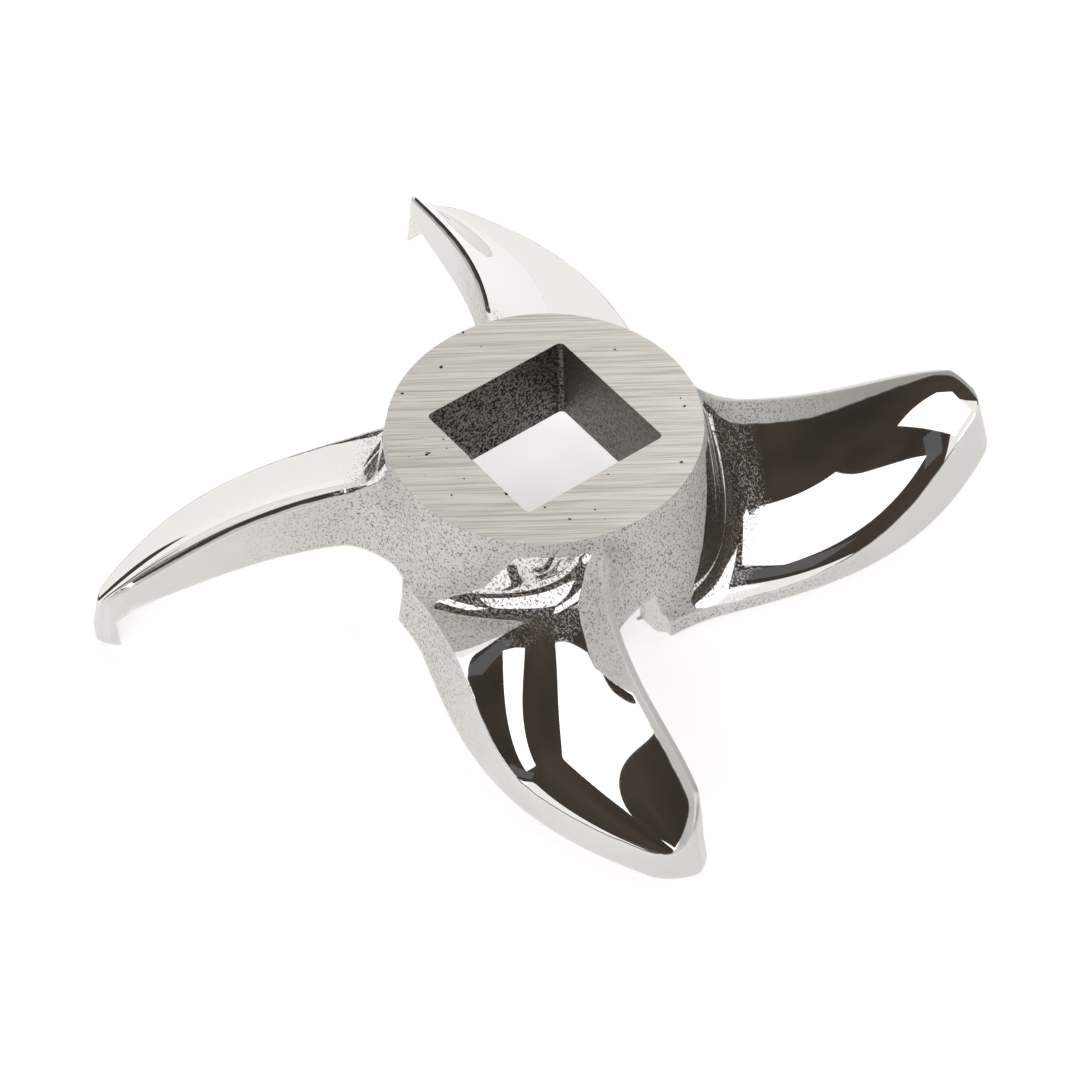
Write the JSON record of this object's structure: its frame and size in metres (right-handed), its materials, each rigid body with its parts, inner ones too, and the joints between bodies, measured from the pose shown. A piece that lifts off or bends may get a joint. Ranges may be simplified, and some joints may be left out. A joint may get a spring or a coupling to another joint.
{
  "type": "meat grinder knife",
  "caption": "Cast cross-shaped meat grinder knife with a flared hub, a square drive hole and scooped curved blades with ground cutting lands.",
  "frame": {"origin": "on the axis of the square drive hole, in the cutting plane that the four lands rest on", "axes": "+Z along the hole's axis, from the cutting plane to the ground hub face; +Y along the first blade, square to a flat of the drive hole; the blades cut when turning clockwise seen from +Z"},
  "size_m": [0.09, 0.09, 0.015],
  "materials": {
    "ground_cast_steel": "ground and polished stainless casting, with fine-grained rough walls round the hub"
  },
  "bodies": {
    "root": {"grinder_knife": "ground_cast_steel"}
  },
  "joints": []
}
